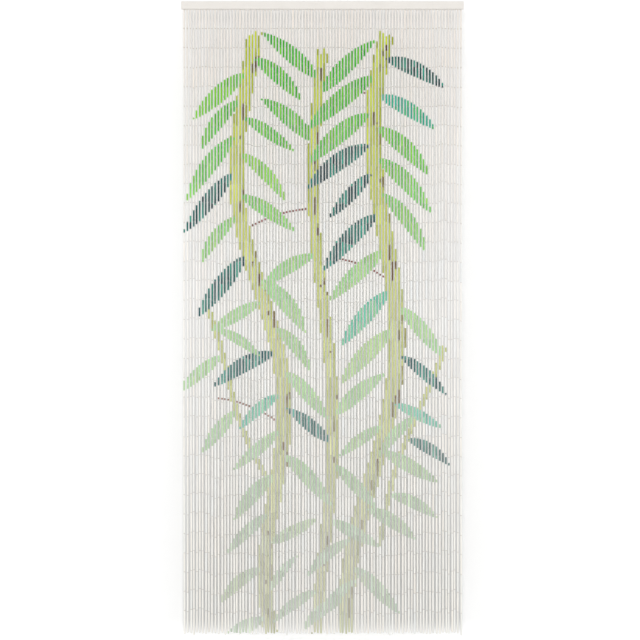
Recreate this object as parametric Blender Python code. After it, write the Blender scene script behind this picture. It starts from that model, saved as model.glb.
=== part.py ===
# Bamboo fly screen curtain: a painted wooden rail with ninety strings of bamboo tubes under it.
# Lengths are in metres. The origin is the middle of the rail's back face, which goes against a
# wall or a door frame. X runs along the rail, -Y faces the room and Z is up.

import math

import bmesh
import bpy

# Rail
RAIL_WIDTH = 0.895
RAIL_DEPTH = 0.010
RAIL_HEIGHT = 0.0245
RAIL_EDGE_RADIUS = 0.0012
RAIL_EDGE_STEPS = 2

# Strands, each a string of tubes
STRAND_COUNT = 90
STRAND_PITCH = 0.00986
TUBE_WIDTH = 0.0058
TUBES_PER_STRAND = 32
CURTAIN_DROP = 2.001  # from the rail's top to the usual end of a strand

# The narrow header strip that the strings are knotted into, stapled under the rail
HEADER_HEIGHT = 0.0015
SEAT_GAP = 0.0003  # between two pieces that touch

# How unevenly the strands hang
END_SPREAD = 0.0030  # most that a usual end is above or below the rest
LONG_END = 0.0050  # what a long strand has more
LONG_SHARE = 0.1  # of the strands
SWAY_SIDE = 0.0006
SWAY_DEPTH = 0.0014
SWAY_SIDE_WAVES = 1.2
SWAY_DEPTH_WAVES = 1.1
SWAY_STARTS = 0.15  # share of the drop over which the sway grows from nothing
# How far a strand's end stands off its place at the rail
LEAN = 0.0012  # all strands alike
DRIFT = 0.0013  # neighbouring strands together, in waves
DRIFT_STRANDS = 11.6
DRIFT_START = 10.6
STRAY = 0.0008  # each strand on its own
TUBES_PER_BEND = 4

# Irrational steps from one strand to the next, so that neighbours differ and nothing repeats
SIDE_STEP = (math.sqrt(5) - 1) / 2
DEPTH_STEP = math.sqrt(2) - 1
END_STEP = math.sqrt(3) - 1
LONG_STEP = (math.sqrt(13) - 3) / 2

RAIL_TOP = RAIL_HEIGHT / 2
RAIL_BOTTOM = -RAIL_HEIGHT / 2
STRAND_PLANE = -RAIL_DEPTH / 2  # the strands hang under the middle of the rail
HEADER_TOP = RAIL_BOTTOM - SEAT_GAP
HEADER_BOTTOM = HEADER_TOP - HEADER_HEIGHT

RAIL_PAINT = (0.85, 0.82, 0.76, 1.0)
TUBE_PAINT = (0.80, 0.77, 0.71, 1.0)


def clear_scene():
    for item in list(bpy.data.objects):
        bpy.data.objects.remove(item)


def painted(name, colour, roughness):
    material = bpy.data.materials.new(name)
    material.use_nodes = True
    shader = material.node_tree.nodes["Principled BSDF"]
    shader.inputs["Base Color"].default_value = colour
    shader.inputs["Roughness"].default_value = roughness
    shader.inputs["Metallic"].default_value = 0.0
    return material


def add_object(name, bm, material):
    mesh = bpy.data.meshes.new(name)
    bmesh.ops.recalc_face_normals(bm, faces=bm.faces)
    bm.to_mesh(mesh)
    bm.free()
    mesh.materials.append(material)
    item = bpy.data.objects.new(name, mesh)
    bpy.context.scene.collection.objects.link(item)
    return item


def build_rail():
    bm = bmesh.new()
    bmesh.ops.create_cube(bm, size=1.0)
    bmesh.ops.scale(bm, vec=(RAIL_WIDTH, RAIL_DEPTH, RAIL_HEIGHT), verts=bm.verts)
    bmesh.ops.translate(bm, vec=(0, STRAND_PLANE, 0), verts=bm.verts)
    rail = add_object("rail", bm, painted("rail_paint", RAIL_PAINT, 0.5))
    rounding = rail.modifiers.new("rounded_edges", "BEVEL")
    rounding.width = RAIL_EDGE_RADIUS
    rounding.segments = RAIL_EDGE_STEPS
    return rail


def spread(strand, step):
    """A number from 0 to 1 that differs between neighbouring strands."""
    return (strand * step) % 1.0


def strand_x(strand):
    return (strand - (STRAND_COUNT - 1) / 2) * STRAND_PITCH


def strand_end(strand):
    end = RAIL_TOP - CURTAIN_DROP + END_SPREAD * (2 * spread(strand, END_STEP) - 1)
    return end - LONG_END if spread(strand, LONG_STEP) > 1 - LONG_SHARE else end


def strand_centre(strand, share):
    """The middle of a strand at a share of the way from the header strip to its end."""
    grown = min(1.0, share / SWAY_STARTS)
    side = math.sin(math.tau * (SWAY_SIDE_WAVES * share + spread(strand, SIDE_STEP)))
    depth = math.sin(math.tau * (SWAY_DEPTH_WAVES * share + spread(strand, DEPTH_STEP)))
    drift = DRIFT * math.sin(math.tau * (strand - DRIFT_START) / DRIFT_STRANDS)
    stray = STRAY * (2 * spread(strand, DEPTH_STEP) - 1)
    return (
        strand_x(strand) + SWAY_SIDE * grown * side + share * (LEAN + drift + stray),
        STRAND_PLANE + SWAY_DEPTH * grown * depth,
        HEADER_BOTTOM + share * (strand_end(strand) - HEADER_BOTTOM),
    )


def ring(bm, centre):
    """Four corners of a strand's section, front left, front right, back right, back left."""
    half = TUBE_WIDTH / 2
    x, y, z = centre
    corners = ((-half, -half), (half, -half), (half, half), (-half, half))
    return [bm.verts.new((x + dx, y + dy, z)) for dx, dy in corners]


def bridge(bm, upper, lower):
    for side in range(4):
        after = (side + 1) % 4
        bm.faces.new((upper[side], upper[after], lower[after], lower[side]))


def add_strand(bm, strand):
    """Hangs a strand below the header strip and returns its root, the ring that they share."""
    bends = TUBES_PER_STRAND // TUBES_PER_BEND
    root = ring(bm, strand_centre(strand, 0.0))
    above = root
    for bend in range(1, bends + 1):
        below = ring(bm, strand_centre(strand, bend / bends))
        bridge(bm, above, below)
        above = below
    bm.faces.new(above)
    return root


def header_corners(bm, root):
    """The header strip's top edge over a strand's root, in the order of its ring."""
    return [bm.verts.new((v.co.x, v.co.y, HEADER_TOP)) for v in root]


def join_header(bm, roots):
    """Closes the header strip over the roots, so that the strip and its strands are one body."""
    tops = [header_corners(bm, root) for root in roots]
    for root, top in zip(roots, tops):
        bm.faces.new(top)
        bm.faces.new((root[0], root[1], top[1], top[0]))
        bm.faces.new((root[2], root[3], top[3], top[2]))
    for here, beyond in zip(range(len(roots) - 1), range(1, len(roots))):
        low, low_next = roots[here], roots[beyond]
        high, high_next = tops[here], tops[beyond]
        bm.faces.new((high[1], high_next[0], high_next[3], high[2]))
        bm.faces.new((low[1], low[2], low_next[3], low_next[0]))
        bm.faces.new((low[1], low_next[0], high_next[0], high[1]))
        bm.faces.new((low[2], high[2], high_next[3], low_next[3]))
    first_low, first_high = roots[0], tops[0]
    last_low, last_high = roots[-1], tops[-1]
    bm.faces.new((first_low[3], first_low[0], first_high[0], first_high[3]))
    bm.faces.new((last_low[1], last_low[2], last_high[2], last_high[1]))


def build_strands():
    bm = bmesh.new()
    roots = [add_strand(bm, strand) for strand in range(STRAND_COUNT)]
    join_header(bm, roots)
    return add_object("strands", bm, painted("tube_paint", TUBE_PAINT, 0.45))


def main():
    clear_scene()
    build_rail()
    build_strands()


main()
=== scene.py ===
# Bamboo fly screen curtain: ninety strings of painted bamboo tubes under a painted wooden rail.

import math

import bmesh
import bpy
import numpy as np
from mathutils import Matrix, Vector


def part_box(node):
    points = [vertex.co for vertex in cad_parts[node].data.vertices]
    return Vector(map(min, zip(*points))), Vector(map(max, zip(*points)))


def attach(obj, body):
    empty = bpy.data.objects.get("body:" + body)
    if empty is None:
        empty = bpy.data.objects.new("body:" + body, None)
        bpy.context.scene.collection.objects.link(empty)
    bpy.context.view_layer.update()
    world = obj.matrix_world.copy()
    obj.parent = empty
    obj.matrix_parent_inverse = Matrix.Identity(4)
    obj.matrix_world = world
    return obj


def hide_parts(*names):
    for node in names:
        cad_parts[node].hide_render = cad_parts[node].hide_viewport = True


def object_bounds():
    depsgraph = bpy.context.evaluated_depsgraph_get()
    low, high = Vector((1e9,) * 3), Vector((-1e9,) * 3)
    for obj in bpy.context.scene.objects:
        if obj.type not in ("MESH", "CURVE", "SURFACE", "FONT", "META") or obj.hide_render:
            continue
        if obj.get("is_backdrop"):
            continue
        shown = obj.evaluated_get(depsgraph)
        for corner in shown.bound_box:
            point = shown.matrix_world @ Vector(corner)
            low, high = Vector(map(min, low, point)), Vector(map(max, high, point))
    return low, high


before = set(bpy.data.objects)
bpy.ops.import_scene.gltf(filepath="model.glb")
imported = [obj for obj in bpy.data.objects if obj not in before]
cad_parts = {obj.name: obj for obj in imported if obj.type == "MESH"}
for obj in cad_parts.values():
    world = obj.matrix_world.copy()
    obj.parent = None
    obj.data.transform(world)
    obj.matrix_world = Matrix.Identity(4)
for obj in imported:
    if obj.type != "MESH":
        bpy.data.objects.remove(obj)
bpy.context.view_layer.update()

railLow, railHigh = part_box("rail")
mm = 0.001


# Nodes and finishes

class Socket:  # an output of a node, which can stand in a sum
    def __init__(self, finish, output):
        self.finish = finish
        self.output = output

    def __add__(self, other):
        return self.finish.maths("ADD", self, other)

    def __radd__(self, other):
        return self.finish.maths("ADD", other, self)

    def __sub__(self, other):
        return self.finish.maths("SUBTRACT", self, other)

    def __rsub__(self, other):
        return self.finish.maths("SUBTRACT", other, self)

    def __mul__(self, other):
        return self.finish.maths("MULTIPLY", self, other)

    def __rmul__(self, other):
        return self.finish.maths("MULTIPLY", other, self)


class Finish:  # a material and its Principled shader
    def __init__(self, name):
        self.material = bpy.data.materials.new(name)
        self.material.use_nodes = True
        self.tree = self.material.node_tree
        self.shader = self.tree.nodes["Principled BSDF"]

    def feed(self, socket, value):
        if isinstance(value, Socket):
            self.tree.links.new(value.output, socket)
        else:
            socket.default_value = value

    def node(self, kind, settings, sockets, out=0):
        made = self.tree.nodes.new(kind)
        for name, value in settings.items():
            setattr(made, name, value)
        for name, value in sockets.items():
            self.feed(made.inputs[name], value)
        return Socket(self, made.outputs[out])

    def maths(self, operation, first, second):
        return self.node("ShaderNodeMath", {"operation": operation}, {0: first, 1: second})

    def clamp(self, value):
        return self.node("ShaderNodeMath", {"operation": "ADD", "use_clamp": True}, {0: value, 1: 0.0})

    def ramp(self, value, none, full):  # from 0 to 1 between two values, without corners
        sockets = {"Value": value, "From Min": none, "From Max": full}
        return self.node("ShaderNodeMapRange", {"interpolation_type": "SMOOTHSTEP"}, sockets)

    def blend(self, share, first, second, way="MIX"):  # colours
        settings = {"data_type": "RGBA", "blend_type": way}
        return self.node("ShaderNodeMix", settings, {0: share, 6: first, 7: second}, 2)

    def noise(self, stretch, detail, shift=0.0):  # from 0 to 1, on the object's own metres
        place = self.node("ShaderNodeTexCoord", {}, {}, "Object")
        settings = {"Vector": place, "Scale": stretch, "Location": (shift, shift, shift)}
        mapped = self.node("ShaderNodeMapping", {}, settings)
        return self.node("ShaderNodeTexNoise", {}, {"Vector": mapped, "Scale": 1.0, "Detail": detail})

    def painted(self, name, out=0):  # a colour attribute of the mesh
        return self.node("ShaderNodeVertexColor", {"layer_name": name}, {}, out)

    def toned(self, colour, tone):  # a colour that is darkened where the tone is below 1
        tone = self.clamp(tone)
        grey = self.node("ShaderNodeCombineColor", {}, {0: tone, 1: tone, 2: tone})
        self.set("Base Color", self.blend(1.0, colour, grey, "MULTIPLY"))

    def bump(self, height, strength, distance):
        sockets = {"Height": height, "Strength": strength, "Distance": distance}
        self.set("Normal", self.node("ShaderNodeBump", {}, sockets))

    def set(self, name, value):
        self.feed(self.shader.inputs[name], value)


# How the strands hang, as in the part's source

hang = {
    "strands": 90,
    "pitch": 9.86 * mm,
    "tubes": 32,
    "drop": 2001 * mm,
    "firstTube": 60.1 * mm,
    "tubePitch": 61.54 * mm,
    "seatGap": 0.3 * mm,
    "headerHeight": 1.5 * mm,
    "endSpread": 3.0 * mm,
    "longEnd": 5.0 * mm,
    "longShare": 0.1,
    "swaySide": 0.6 * mm,
    "swayDepth": 1.4 * mm,
    "sideWaves": 1.2,
    "depthWaves": 1.1,
    "swayStarts": 0.15,
    "lean": 1.2 * mm,
    "drift": 1.3 * mm,
    "driftStrands": 11.6,
    "driftStart": 10.6,
    "stray": 0.8 * mm,
    "sideStep": (math.sqrt(5) - 1) / 2,
    "depthStep": math.sqrt(2) - 1,
    "endStep": math.sqrt(3) - 1,
    "longStep": (math.sqrt(13) - 3) / 2,
}
strandPlane = (railLow.y + railHigh.y) / 2
headerBottom = railLow.z - hang["seatGap"] - hang["headerHeight"]


def spread(strand, step):
    return (strand * step) % 1.0


def strandX(strand):
    return (strand - (hang["strands"] - 1) / 2) * hang["pitch"]


def strandEnd(strand):
    end = railHigh.z - hang["drop"] + hang["endSpread"] * (2 * spread(strand, hang["endStep"]) - 1)
    long = spread(strand, hang["longStep"]) > 1 - hang["longShare"]
    return end - hang["longEnd"] if long else end


def strandCentre(strand, share):
    grown = min(1.0, share / hang["swayStarts"])
    side = math.sin(math.tau * (hang["sideWaves"] * share + spread(strand, hang["sideStep"])))
    depth = math.sin(math.tau * (hang["depthWaves"] * share + spread(strand, hang["depthStep"])))
    wave = math.sin(math.tau * (strand - hang["driftStart"]) / hang["driftStrands"])
    stray = 2 * spread(strand, hang["depthStep"]) - 1
    off = hang["lean"] + hang["drift"] * wave + hang["stray"] * stray
    return Vector((
        strandX(strand) + hang["swaySide"] * grown * side + share * off,
        strandPlane + hang["swayDepth"] * grown * depth,
        headerBottom + share * (strandEnd(strand) - headerBottom),
    ))


# The painting: winding vines with oval leaves. Depths are measured down from the header strip

vines = {
    "seed": 5,
    "columns": (
        "topX", "topDepth", "footX", "footDepth", "wind", "turns", "phase", "width", "gap", "leaf"
    ),
    "rows": (
        (-0.255, 0.066, -0.120, 1.995, 0.052, 1.50, 0.36, 0.048, 0.088, 0.205),
        (0.235, 0.066, 0.125, 1.995, -0.058, 1.25, 0.08, 0.052, 0.088, 0.210),
        (-0.005, 0.120, 0.010, 1.995, 0.028, 1.25, 0.46, 0.036, 0.094, 0.185),
        (-0.385, 0.930, -0.150, 1.560, 0.016, 0.90, 0.20, 0.018, 0.082, 0.170),
        (0.375, 1.050, 0.170, 1.700, -0.016, 0.90, 0.70, 0.018, 0.082, 0.165),
    ),
    "bare": 66 * mm,  # the first row of tubes stays plain
    "raggedTop": 20 * mm,
    "crowd": (0.60, 1.20),  # how close the leaves stand, at the top and at the foot
    "lush": (1.22, 0.86),  # how large the leaves are, at the top and at the foot
    "shadeFrom": 0.45,  # of half a vine's width, the darker side
    "shadeUpTo": -0.80,
    "barkEvery": 0.21,
    "barkWithin": (0.2, 0.8),  # of each such length
    "barkTall": 34 * mm,
    "barkFrom": 0.02,  # thinner vines have no bark marks
}
leaves = {
    "starts": 0.3,  # of the vine's width, off its middle
    "long": (0.78, 1.12),  # of the vine's own leaf length
    "wide": 0.30,  # of the length
    "wideSpread": (0.88, 1.12),
    "outline": (1.95, 0.62, 0.80),  # fullness, and how fast it widens from the stalk and the tip
    "apart": 56 * mm,
    "clearAt": (0.45, 0.75, 1.0),  # places along a leaf that have to be clear of other leaves
    "next": (0.65, 1.05),  # of the vine's gap, from one leaf to the next
    "lean": (36, 64),  # degrees off upright
    "droop": 0.45,  # share of leaves that point down
    "bend": 14 * mm,
    "tries": 6,
    "edge": 0.44,  # how far from the middle leaves may reach
    "rib": 1.6 * mm,
    "ribRuns": (0.12, 0.80),
    "kinds": ("leaf", "young", "turquoise", "teal"),
    "shares": (0.64, 0.16, 0.09, 0.11),
}
tendrils = {
    "columns": ("x", "depth", "reach", "rise", "curl"),
    "rows": (
        (0.245, 0.300, -0.170, -0.040, 0.050),
        (-0.235, 0.690, 0.210, -0.060, 0.060),
        (0.215, 0.860, -0.200, -0.075, 0.070),
        (-0.150, 1.300, -0.190, -0.070, 0.060),
    ),
    "tall": 3.2 * mm,
}
paints = {  # as seen in daylight, at the three depths that follow
    # the plain coat, warmer at the top, is lighter further down: painted light that makes up for the
    # dimmer light on the lower tubes
    "plain": ((240, 235, 228), (252, 250, 246), (251, 249, 243)),
    "stem": ((196, 210, 38), (212, 218, 140), (218, 220, 190)),
    "shade": ((148, 160, 14), (186, 194, 108), (206, 208, 176)),
    "bark": ((76, 38, 14), (112, 86, 58), (174, 168, 150)),
    "leaf": ((34, 166, 6), (164, 216, 146), (208, 222, 202)),
    "rib": ((90, 198, 48), (190, 226, 172), (216, 226, 210)),
    "young": ((110, 200, 6), (190, 222, 148), (212, 222, 196)),
    "turquoise": ((36, 166, 138), (90, 192, 164), (178, 210, 198)),
    "teal": ((4, 28, 40), (30, 76, 84), (140, 152, 146)),
    "twig": ((150, 92, 88), (150, 92, 88), (190, 174, 164)),
}
seconds = {  # what a paint is brushed over with here and there
    "stem": "shade",
    "shade": "stem",
    "bark": "shade",
    "leaf": "young",
    "rib": "young",
    "young": "leaf",
    "turquoise": "leaf",
    "teal": "turquoise",
    "twig": "bark",
}
paintNames = list(paints)
paintStops = (0.10, 0.90, 1.70)
sampleStep = 1.0 * mm


def named(table):
    return [dict(zip(table["columns"], row)) for row in table["rows"]]


def vineX(vine, depth):
    share = (depth - vine["topDepth"]) / (vine["footDepth"] - vine["topDepth"])
    straight = vine["topX"] + (vine["footX"] - vine["topX"]) * share
    return straight + vine["wind"] * np.sin(math.tau * (vine["turns"] * share + vine["phase"]))


def newLeaf(vine, depth, side, draw):
    lean = math.radians(draw.uniform(*leaves["lean"]))
    down = 1 if draw.random() < leaves["droop"] else -1
    lush = float(np.interp(depth, (0, vine["footDepth"]), vines["lush"]))
    length = vine["leaf"] * lush * draw.uniform(*leaves["long"])
    return {
        "x": float(vineX(vine, depth)) + side * vine["width"] * leaves["starts"],
        "depth": depth,
        "ax": side * math.sin(lean),
        "ad": down * math.cos(lean),
        "length": length,
        "width": length * leaves["wide"] * draw.uniform(*leaves["wideSpread"]),
        "bend": -side * draw.uniform(0.0, leaves["bend"]),
    }


def leafSpots(leaf):
    reach = [leaf["length"] * share for share in leaves["clearAt"]]
    return [(leaf["x"] + leaf["ax"] * r, leaf["depth"] + leaf["ad"] * r) for r in reach]


def leafFits(spots, taken):
    clear = all(math.dist(spot, other) > leaves["apart"] for spot in spots for other in taken)
    return clear and abs(spots[1][0]) < leaves["edge"] and spots[2][1] > vines["bare"]


def growLeaves():
    draw = np.random.default_rng(vines["seed"])
    grown, taken = [], []
    for vine in named(vines):
        side = draw.choice((-1, 1))
        depth = vine["topDepth"] + vine["gap"]
        while depth < vine["footDepth"] - vine["gap"] / 2:
            tries = [newLeaf(vine, depth, side, draw) for _ in range(leaves["tries"])]
            fitting = [leaf for leaf in tries if leafFits(leafSpots(leaf), taken)]
            if fitting:
                leaf = fitting[0]
                leaf["kind"] = str(draw.choice(leaves["kinds"], p=leaves["shares"]))
                taken += leafSpots(leaf)
                grown.append(leaf)
            side = -side
            crowd = np.interp(depth, (0, vine["footDepth"]), vines["crowd"])
            depth += vine["gap"] * crowd * draw.uniform(*leaves["next"])
    return grown


def leafCovers(leaf, x, depths):
    right = x - leaf["x"]
    down = depths - leaf["depth"]
    along = (right * leaf["ax"] + down * leaf["ad"]) / leaf["length"]
    share = np.clip(along, 0, 1)
    across = down * leaf["ax"] - right * leaf["ad"] - leaf["bend"] * 4 * share * (1 - share)
    full, stalk, tip = leaves["outline"]
    half = leaf["width"] / 2 * full * share ** stalk * (1 - share) ** tip
    covered = (along > 0) & (along < 1) & (np.abs(across) < half)
    start, end = leaves["ribRuns"]
    rib = covered & (np.abs(across) < leaves["rib"]) & (along > start) & (along < end)
    return covered, rib


def paintVine(found, vine, x, depths, draw):
    off = (x - vineX(vine, depths)) / (vine["width"] / 2)
    top = vine["topDepth"] + vines["raggedTop"] * draw.random()
    on = (np.abs(off) < 1) & (depths > top) & (depths < vine["footDepth"])
    found[on] = paintNames.index("stem")
    found[on & ((off > vines["shadeFrom"]) | (off < vines["shadeUpTo"]))] = paintNames.index("shade")
    marks = int((vine["footDepth"] - vine["topDepth"]) / vines["barkEvery"])
    for mark in range(marks if vine["width"] > vines["barkFrom"] else 0):
        at = vine["topDepth"] + (mark + draw.uniform(*vines["barkWithin"])) * vines["barkEvery"]
        marked = np.abs(depths - at) < draw.uniform(0.0, vines["barkTall"])
        found[on & marked & (off > 0)] = paintNames.index("bark")


def paintStrand(strand, grown, draw):  # the paint's number for each sample down a strand
    x = strandX(strand)
    depths = np.arange(0.0, headerBottom - strandEnd(strand) + sampleStep, sampleStep)
    found = np.zeros(len(depths), int)
    for tendril in named(tendrils):
        share = (x - tendril["x"]) / tendril["reach"]
        if 0 < share < 1:
            arc = tendril["rise"] * share - tendril["curl"] * share * (1 - share)
            found[np.abs(depths - tendril["depth"] - arc) < tendrils["tall"]] = paintNames.index("twig")
    for vine in named(vines):
        paintVine(found, vine, x, depths, draw)
    for leaf in grown:
        covered, rib = leafCovers(leaf, x, depths)
        found[covered] = paintNames.index(leaf["kind"])
        if leaf["kind"] == "leaf":
            found[rib] = paintNames.index("rib")
    return found


def daylight(colour):  # a seen colour, 0 to 255, as the light that it reflects
    seen = np.asarray(colour, float) / 255
    return np.where(seen <= 0.04045, seen / 12.92, ((seen + 0.055) / 1.055) ** 2.4)


def paintColour(name, depth):
    stops = np.array(paints[name], float)
    seen = [np.interp(depth, paintStops, stops[:, channel]) for channel in range(3)]
    return daylight(seen)


# Bamboo tubes

tubes = {
    "seed": 21,
    "sides": 8,
    "width": 5.8 * mm,
    "widthSpread": 0.035,
    "wall": 1.5 * mm,
    "chamfer": 0.4 * mm,
    "bore": 1.6 * mm,
    "gap": 0.7 * mm,
    "topGap": 0.15 * mm,
    "cutSpread": 1.3 * mm,  # how much the tubes differ in length, which adds up down a strand
    "alike": (0.15, 0.70, 0.15),  # how far a strand's joints follow those beside it
    "nudge": 0.06 * mm,
    "creased": 50,  # degrees, from which an edge stays sharp
    "strandsEach": 18,  # in one piece
    "paintGain": 0.86,
    "shadeSpread": 0.018,  # how much tubes differ in brightness
    "tintSpread": 0.010,  # in warmth
    "coatSpread": 0.08,  # and in how bright the painting on them is
    "secondMost": 0.8,  # of the paint that is brushed over the first
    "frontFull": 0.05,  # the painting covers a tube this far round
    "frontNone": 0.65,  # and ends here
    "bareCane": (0.43, 0.36, 0.27),
    "thinAtRims": (0.95, 0.35),  # how much cane a rim shows, at the top and at the foot
}


def liesAcross(face):
    return abs(face.normal.z) > 0.9


def tubeShape():
    length = hang["tubePitch"] - tubes["gap"]
    radius = tubes["width"] / 2
    bm = bmesh.new()
    cone = {"cap_ends": True, "segments": tubes["sides"], "radius1": radius, "radius2": radius}
    bmesh.ops.create_cone(bm, depth=length, **cone)
    endLayer = bm.faces.layers.int.new("cutEnd")  # 1 at a cut end, 2 round its rim
    rims = [edge for edge in bm.edges if any(map(liesAcross, edge.link_faces))]
    cut = {"affect": "EDGES", "segments": 1, "profile": 0.5, "material": -1}
    rounded = bmesh.ops.bevel(bm, geom=rims, offset=tubes["chamfer"], **cut)["faces"]
    bm.normal_update()
    for face in rounded:
        face[endLayer] = 2
    for face in list(filter(liesAcross, bm.faces)):
        face[endLayer] = 1
        ring = bmesh.ops.inset_region(bm, faces=[face], thickness=tubes["wall"] - tubes["chamfer"])
        inward = face.normal * -tubes["bore"]
        bore = bmesh.ops.extrude_discrete_faces(bm, faces=[face])["faces"]
        bmesh.ops.translate(bm, verts=bore[0].verts, vec=inward)
        for part in ring["faces"] + bore + [f for edge in bore[0].edges for f in edge.link_faces]:
            part[endLayer] = 1
    for face in bm.faces:
        face.smooth = abs(face.normal.z) < 0.2
    for edge in bm.edges:
        if len(edge.link_faces) == 2 and edge.calc_face_angle() > math.radians(tubes["creased"]):
            edge.smooth = False
    return bm, length


def tubeEnds(strand, heights, tube, draw):  # top and bottom of a tube, a little off the strand
    top = strandCentre(strand, heights[tube])
    bottom = strandCentre(strand, heights[tube + 1])
    top.z -= tubes["topGap"] if tube == 0 else tubes["gap"] / 2
    bottom.z += 0 if tube == hang["tubes"] - 1 else tubes["gap"] / 2
    for end in (top, bottom):
        end.x += draw.normal(0, tubes["nudge"])
        end.y += draw.normal(0, tubes["nudge"])
    return top, bottom


def jointHeights(draw):  # where the joints are, as shares of the way down, for each strand
    cut = draw.normal(0, tubes["cutSpread"], (hang["strands"] + 2, hang["tubes"] - 1))
    before, own, after = tubes["alike"]
    cut = before * cut[:-2] + own * cut[1:-1] + after * cut[2:]
    even = hang["firstTube"] + hang["tubePitch"] * np.arange(hang["tubes"] - 1)
    joints = np.tile(even, (hang["strands"], 1)) + np.cumsum(cut, axis=1)
    drops = np.array([headerBottom - strandEnd(strand) for strand in range(hang["strands"])])
    shares = joints / drops[:, None]
    return np.pad(shares, ((0, 0), (1, 1)), constant_values=((0, 0), (0, 1)))


def placing(top, bottom, length, width, turn):
    line = top - bottom
    aim = line.to_track_quat("Z", "Y").to_matrix().to_4x4()
    size = Matrix.Diagonal((width, width, line.length / length, 1))
    return Matrix.Translation((top + bottom) / 2) @ aim @ Matrix.Rotation(turn, 4, "Z") @ size


def paintTube(bm, found, top, bottom, draw):
    coat = bm.loops.layers.float_color.new("coat")
    paint = bm.loops.layers.float_color.new("paint")
    endLayer = bm.faces.layers.int["cutEnd"]
    shade = 1 + draw.normal(0, tubes["shadeSpread"])
    tint = draw.normal(0, tubes["tintSpread"])
    brushed = 1 + draw.normal(0, tubes["coatSpread"])
    tinted = np.array((1 + tint, 1, 1 - tint))
    secondLow, secondHigh = tubes["secondMost"] * draw.uniform(0, 1, 2) ** 2
    down = headerBottom - top.z
    plain = paintColour("plain", down) * tubes["paintGain"] * shade * tinted
    cane = np.array(tubes["bareCane"])
    rim = plain + (cane - plain) * np.interp(down, (0, hang["drop"]), tubes["thinAtRims"])
    coats = (plain, cane, rim)
    for face in bm.faces:
        middle = face.calc_center_median()
        depth = headerBottom - middle.z
        name = paintNames[found[min(len(found) - 1, max(0, int(depth / sampleStep)))]]
        covers = name != "plain" and face[endLayer] != 1
        base = coats[face[endLayer]]
        first = paintColour(name, depth) * tubes["paintGain"] * brushed * tinted
        second = paintColour(seconds.get(name, name), depth) * tubes["paintGain"] * brushed * tinted
        for loop in face.loops:
            share = (loop.vert.co.z - bottom.z) / (top.z - bottom.z)
            away = (loop.vert.co - bottom.lerp(top, share)).normalized().y
            full, none = tubes["frontFull"], tubes["frontNone"]
            cover = min(1.0, max(0.0, (none - away) / (none - full))) if covers else 0.0
            over = secondLow + (secondHigh - secondLow) * share
            loop[coat] = (*base, 1.0)
            loop[paint] = (*(first + (second - first) * over), cover)


def cutTube(bm, found, top, bottom):  # a cut wherever the paint changes, so that it ends crisply
    numbers = found[max(0, int((headerBottom - top.z) / sampleStep)):]
    numbers = numbers[:int((top.z - bottom.z) / sampleStep)]
    for change in np.nonzero(np.diff(numbers))[0]:
        z = top.z - (change + 1) * sampleStep
        if bottom.z + tubes["chamfer"] * 2 < z < top.z - tubes["chamfer"] * 2:
            geom = list(bm.verts) + list(bm.edges) + list(bm.faces)
            bmesh.ops.bisect_plane(bm, geom=geom, plane_co=(0, 0, z), plane_no=(0, 0, 1))


def makePiece(name, bm, material):
    mesh = bpy.data.meshes.new(name)
    bm.to_mesh(mesh)
    bm.free()
    mesh.materials.append(material)
    piece = bpy.data.objects.new(name, mesh)
    bpy.context.scene.collection.objects.link(piece)
    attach(piece, "root")
    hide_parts("strands")
    return piece


def addTo(group, one, scratch):
    one.to_mesh(scratch)
    one.free()
    group.from_mesh(scratch)


def strandGroups():  # the number of each piece, and its strands
    for first in range(0, hang["strands"], tubes["strandsEach"]):
        yield first // tubes["strandsEach"] + 1, range(first, first + tubes["strandsEach"])


def makeTubes(material, grown):
    draw = np.random.default_rng(tubes["seed"])
    heights = jointHeights(draw)
    shape, length = tubeShape()
    scratch = bpy.data.meshes.new("one_tube")
    for number, strands in strandGroups():
        group = bmesh.new()
        for strand in strands:
            found = paintStrand(strand, grown, draw)
            for tube in range(hang["tubes"]):
                top, bottom = tubeEnds(strand, heights[strand], tube, draw)
                width = 1 + draw.normal(0, tubes["widthSpread"])
                one = shape.copy()
                place = placing(top, bottom, length, width, draw.uniform(0, math.tau))
                bmesh.ops.transform(one, matrix=place, verts=one.verts)
                cutTube(one, found, top, bottom)
                paintTube(one, found, top, bottom, draw)
                addTo(group, one, scratch)
        makePiece("tubes_%d" % number, group, material)
    shape.free()
    bpy.data.meshes.remove(scratch)
    print("tubes hung and painted")
    return heights


# Wire eyes that link the tubes

links = {
    "seed": 33,
    "wire": 0.55 * mm,
    "wireSides": 4,
    "steps": 8,
    "ring": 0.90 * mm,
    "stretch": 1.3,
    "apart": 0.55 * mm,  # an eye's middle from the joint's
    "closed": 0.02 * mm,  # points this near are one
}


def eyeShape():  # a long ring that stands in the XZ plane
    bm = bmesh.new()
    circle = {"cap_ends": False, "segments": links["wireSides"], "radius": links["wire"] / 2}
    bmesh.ops.create_circle(bm, **circle)
    bmesh.ops.rotate(bm, cent=(0, 0, 0), matrix=Matrix.Rotation(math.pi / 2, 3, "X"), verts=bm.verts)
    bmesh.ops.rotate(bm, cent=(0, 0, 0), matrix=Matrix.Rotation(math.pi / 2, 3, "Z"), verts=bm.verts)
    bmesh.ops.translate(bm, vec=(0, 0, links["ring"]), verts=bm.verts)
    turn = {"cent": (0, 0, 0), "axis": (0, 1, 0), "angle": math.tau, "steps": links["steps"]}
    bmesh.ops.spin(bm, geom=list(bm.verts) + list(bm.edges), use_merge=True, **turn)
    bmesh.ops.remove_doubles(bm, verts=bm.verts, dist=links["closed"])
    bmesh.ops.scale(bm, vec=(1, 1, links["stretch"]), verts=bm.verts)
    bmesh.ops.recalc_face_normals(bm, faces=bm.faces)
    for face in bm.faces:
        face.smooth = True
    return bm


def hangEye(group, shape, scratch, place, turn):
    one = shape.copy()
    matrix = Matrix.Translation(place) @ Matrix.Rotation(turn, 4, "Z")
    bmesh.ops.transform(one, matrix=matrix, verts=one.verts)
    addTo(group, one, scratch)


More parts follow.
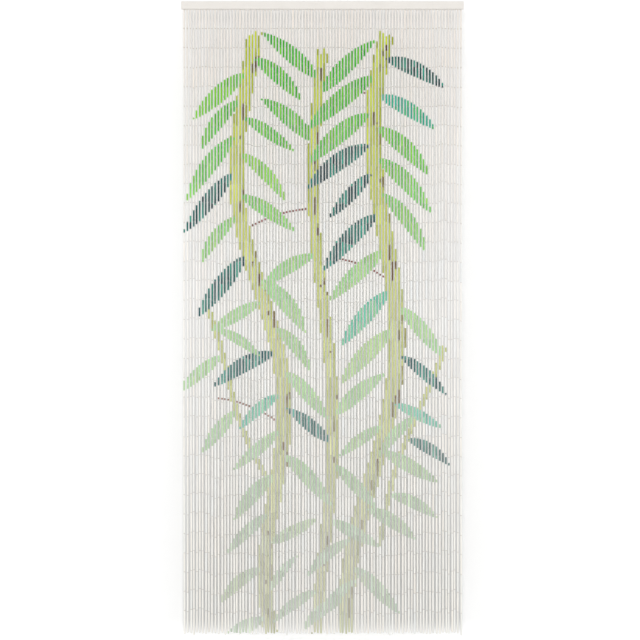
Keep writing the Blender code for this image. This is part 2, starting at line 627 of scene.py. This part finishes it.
def makeLinks(material, heights):
    draw = np.random.default_rng(links["seed"])
    shape = eyeShape()
    scratch = bpy.data.meshes.new("one_eye")
    half = Vector((0, 0, links["apart"]))
    for number, strands in strandGroups():
        group = bmesh.new()
        for strand in strands:
            for joint in range(1, hang["tubes"]):
                middle = strandCentre(strand, heights[strand][joint])
                turn = draw.uniform(0, math.pi)
                hangEye(group, shape, scratch, middle + half, turn)
                hangEye(group, shape, scratch, middle - half, turn + math.pi / 2)
            turn = draw.uniform(0, math.pi)
            hangEye(group, shape, scratch, strandCentre(strand, 0) - half, turn)
            hangEye(group, shape, scratch, strandCentre(strand, 1), turn)
        makePiece("links_%d" % number, group, material)
    shape.free()
    bpy.data.meshes.remove(scratch)
    print("links hooked")


# The header strip under the rail

header = {
    "edge": 0.2 * mm,
    "deep": 9.2 * mm,
    "under": 0.05 * mm,  # below the rail
}


def makeHeader(material):
    width = strandX(hang["strands"] - 1) - strandX(0) + tubes["width"]
    bm = bmesh.new()
    bmesh.ops.create_cube(bm, size=1.0)
    top = railLow.z - header["under"]
    bmesh.ops.scale(bm, vec=(width, header["deep"], top - headerBottom), verts=bm.verts)
    middle = (0, strandPlane, (top + headerBottom) / 2)
    bmesh.ops.translate(bm, vec=middle, verts=bm.verts)
    cut = {"affect": "EDGES", "segments": 2, "profile": 0.5, "material": -1}
    bmesh.ops.bevel(bm, geom=list(bm.edges), offset=header["edge"], **cut)
    makePiece("header_strip", bm, material)
    print("header strip fixed")


# Finishes. Each noise has its waves per metre along X, Y and Z, its detail and its shift

tubeLook = {
    "fibres": ((520, 520, 14), 4.0),
    "streaks": ((900, 900, 30), 2.0, 3.0),
    "blotches": ((60, 60, 25), 3.0, 7.0),
    "lines": (0.56, 0.74),  # between these the streaks turn into dark lines
    "shine": 0.3,
}
railLook = {
    "grain": ((9, 260, 420), 5.0),
    "brush": ((22, 900, 900), 2.0, 4.0),
    "patches": ((14, 14, 14), 3.0, 9.0),
    "light": (0.668, 0.639, 0.602, 1),
    "warm": (0.655, 0.626, 0.585, 1),
}
wireLook = {
    "tarnish": ((400, 400, 400), 3.0),
    "bright": (0.30, 0.27, 0.24, 1),
    "dull": (0.17, 0.13, 0.10, 1),
    "metal": 0.9,
}


def tubePaint():
    finish = Finish("tube_paint_look")
    fibres = finish.noise(*tubeLook["fibres"])
    streaks = finish.noise(*tubeLook["streaks"])
    blotches = finish.noise(*tubeLook["blotches"])
    cover = finish.painted("paint", 1)
    worn = finish.clamp(cover * (1.25 - 0.42 * streaks))
    colour = finish.blend(worn, finish.painted("coat"), finish.painted("paint"))
    lines = finish.ramp(streaks, *tubeLook["lines"])
    finish.toned(colour, 0.82 + 0.22 * fibres + 0.09 * blotches - 0.10 * lines)
    finish.set("Roughness", 0.40 + 0.20 * blotches)
    finish.set("Specular IOR Level", tubeLook["shine"])
    finish.bump(fibres + 0.5 * streaks, 0.25, 0.15 * mm)
    return finish.material


def railPaint():
    finish = Finish("rail_paint_look")
    grain = finish.noise(*railLook["grain"])
    brush = finish.noise(*railLook["brush"])
    patches = finish.noise(*railLook["patches"])
    colour = finish.blend(patches, railLook["light"], railLook["warm"])
    finish.toned(colour, 0.895 + 0.105 * grain + 0.045 * brush)
    finish.set("Roughness", 0.42 + 0.18 * patches)
    finish.bump(grain + 0.6 * brush, 0.3, 0.25 * mm)
    return finish.material


def linkWire():
    finish = Finish("link_wire_look")
    tarnish = finish.noise(*wireLook["tarnish"])
    finish.set("Base Color", finish.blend(tarnish, wireLook["bright"], wireLook["dull"]))
    finish.set("Metallic", wireLook["metal"])
    finish.set("Roughness", 0.35 + 0.3 * tarnish)
    return finish.material


# Wall, floor, lights and camera

studio = {
    "wallBehind": 110 * mm,
    "floorBelow": 110 * mm,
    "reach": 14.0,
    "floorRadius": 60.0,
    "floorSides": 96,
    "floorPaint": (0.90, 0.90, 0.90, 1),
    "wallLight": (0.875, 0.875, 0.875, 1),
    "wallPaintedShadow": (0.56, 0.56, 0.555, 1),
    "wallPaintedLightBelow": (0.97, 0.97, 0.97, 1),  # painted light: the wall is lighter under the strands, where they shade it
    "shadeDown": (-0.65, -2.35),  # the painted shadow of the curtain on the wall deepens between these heights
    "shadeFoot": (-1.955, -2.022),  # and ends between these
    "shadeWide": (0.444, 0.456),  # and between these distances from the middle
    "shadeMiddle": 0.53,  # its strength in the middle, where less daylight comes round the curtain
    "shadeSides": (0.05, 0.42),
    "world": 0.89,
    "sun": 1.30,
    "sunWide": 20.0,  # degrees, for soft edges to the shadows
    "sunFrom": (-0.15, -5.6, 0.45),
}
photo = {
    "pixels": 640,
    "railPixels": 282.6,
    "railTop": 1.2,
    "railMiddle": 322.5,
    "lens": 100.0,
    "sensor": 36.0,
    "sees": 100.0,  # metres
}


# The wall's colour holds a painted shadow of the curtain, darker towards the foot and weaker in the
# middle, and painted light that makes it lighter below the strands.
def wallColour(finish):
    place = finish.node("ShaderNodeTexCoord", {}, {}, "Object")
    x, z = (finish.node("ShaderNodeSeparateXYZ", {}, {0: place}, axis) for axis in (0, 2))
    aside = finish.node("ShaderNodeMath", {"operation": "ABSOLUTE"}, {0: x})
    foot = finish.ramp(z, *studio["shadeFoot"])
    shade = finish.ramp(z, *studio["shadeDown"]) * (1 - foot)
    shade = shade * (1 - finish.ramp(aside, *studio["shadeWide"]))
    middle = studio["shadeMiddle"]
    shade = shade * (middle + (1 - middle) * finish.ramp(aside, *studio["shadeSides"]))
    bare = finish.blend(foot, studio["wallLight"], studio["wallPaintedLightBelow"])
    return finish.blend(shade, bare, studio["wallPaintedShadow"])


def makeWall():  # it shows from the front only
    finish = Finish("wall")
    finish.set("Base Color", wallColour(finish))
    finish.set("Roughness", 0.9)
    finish.set("Specular IOR Level", 0.1)
    clear = finish.node("ShaderNodeBsdfTransparent", {}, {})
    back = finish.node("ShaderNodeNewGeometry", {}, {}, "Backfacing")
    front = Socket(finish, finish.shader.outputs[0])
    sided = finish.node("ShaderNodeMixShader", {}, {0: back, 1: front, 2: clear})
    finish.feed(finish.tree.nodes["Material Output"].inputs["Surface"], sided)
    bm = bmesh.new()
    bmesh.ops.create_grid(bm, x_segments=1, y_segments=1, size=studio["reach"])
    bmesh.ops.rotate(bm, cent=(0, 0, 0), matrix=Matrix.Rotation(math.pi / 2, 3, "X"), verts=bm.verts)
    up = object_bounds()[0].z - studio["floorBelow"] + studio["reach"]
    bmesh.ops.translate(bm, vec=(0, studio["wallBehind"], up), verts=bm.verts)
    makeStage("wall", bm, finish.material)


def makeFloor():
    finish = Finish("floor")
    finish.set("Base Color", studio["floorPaint"])
    finish.set("Roughness", 0.85)
    bm = bmesh.new()
    disc = {"cap_ends": True, "segments": studio["floorSides"], "radius": studio["floorRadius"]}
    bmesh.ops.create_circle(bm, **disc)
    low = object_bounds()[0].z - studio["floorBelow"]
    bmesh.ops.translate(bm, vec=(0, 0, low), verts=bm.verts)
    makeStage("floor", bm, finish.material)


def makeStage(name, bm, material):
    mesh = bpy.data.meshes.new(name)
    bm.to_mesh(mesh)
    bm.free()
    mesh.materials.append(material)
    item = bpy.data.objects.new(name, mesh)
    bpy.context.scene.collection.objects.link(item)
    item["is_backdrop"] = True


def makeLights():
    world = bpy.data.worlds.new("room")
    world.use_nodes = True
    background = world.node_tree.nodes["Background"]
    background.inputs["Color"].default_value = (1, 1, 1, 1)
    background.inputs["Strength"].default_value = studio["world"]
    bpy.context.scene.world = world
    sun = bpy.data.lights.new("sun", "SUN")
    sun.energy = studio["sun"]
    sun.angle = math.radians(studio["sunWide"])
    lamp = bpy.data.objects.new("sun", sun)
    lamp.location = studio["sunFrom"]
    lamp.rotation_euler = (-lamp.location).to_track_quat("-Z", "Y").to_euler()
    bpy.context.scene.collection.objects.link(lamp)


def makeCamera():
    metresEach = (railHigh.x - railLow.x) / photo["railPixels"]
    half = photo["pixels"] / 2
    x = (railLow.x + railHigh.x) / 2 - (photo["railMiddle"] - half) * metresEach
    z = railHigh.z + photo["railTop"] * metresEach - half * metresEach
    away = half * metresEach * photo["lens"] / (photo["sensor"] / 2)
    data = bpy.data.cameras.new("camera")
    data.lens = photo["lens"]
    data.sensor_width = photo["sensor"]
    data.clip_end = photo["sees"]
    camera = bpy.data.objects.new("camera", data)
    camera.location = (x, railLow.y - away, z)
    camera.rotation_euler = (math.pi / 2, 0, 0)
    bpy.context.scene.collection.objects.link(camera)
    bpy.context.scene.camera = camera


grownLeaves = growLeaves()
print(len(grownLeaves), "leaves laid out")
paintOnTubes = tubePaint()
paintOnRail = railPaint()
jointRows = makeTubes(paintOnTubes, grownLeaves)
makeLinks(linkWire(), jointRows)
makeHeader(paintOnRail)
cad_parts["rail"].material_slots[0].material = paintOnRail
makeWall()
makeFloor()
makeLights()
makeCamera()
bpy.context.scene.view_settings.view_transform = "Standard"
print("stage set")
